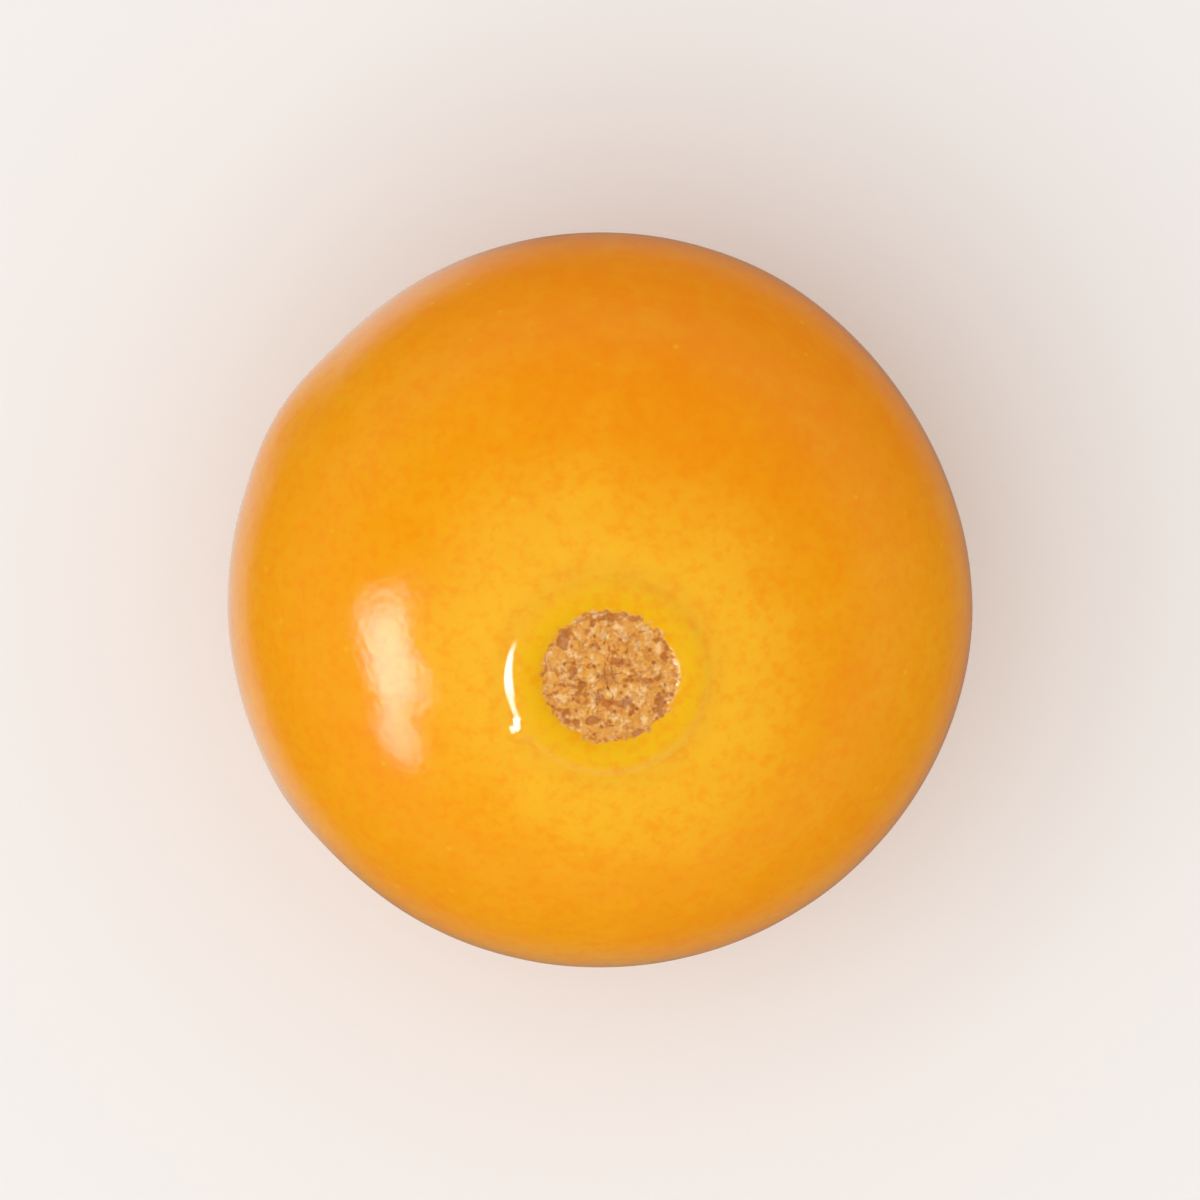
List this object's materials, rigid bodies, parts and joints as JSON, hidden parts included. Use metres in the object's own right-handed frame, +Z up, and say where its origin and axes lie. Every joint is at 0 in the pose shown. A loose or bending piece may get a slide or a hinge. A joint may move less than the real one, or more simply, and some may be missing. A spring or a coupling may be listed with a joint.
{
  "type": "physalis berry",
  "caption": "Round husked physalis berry, orange and smooth, lying stem end up, with a corky stem scar sunk in a raised glossy collar.",
  "frame": {"origin": "on the surface that the berry rests on, under the middle of its bounding box", "axes": "+Z up; the stem end leans 13.5 degrees from +Z towards -Y"},
  "size_m": [0.0224, 0.0222, 0.0212],
  "materials": {
    "berry_skin": "smooth waxy orange skin with a soft sheen, glossy yellow round the stem scar, corky tan on the scar"
  },
  "bodies": {
    "root": {"berry": "berry_skin"}
  },
  "joints": []
}
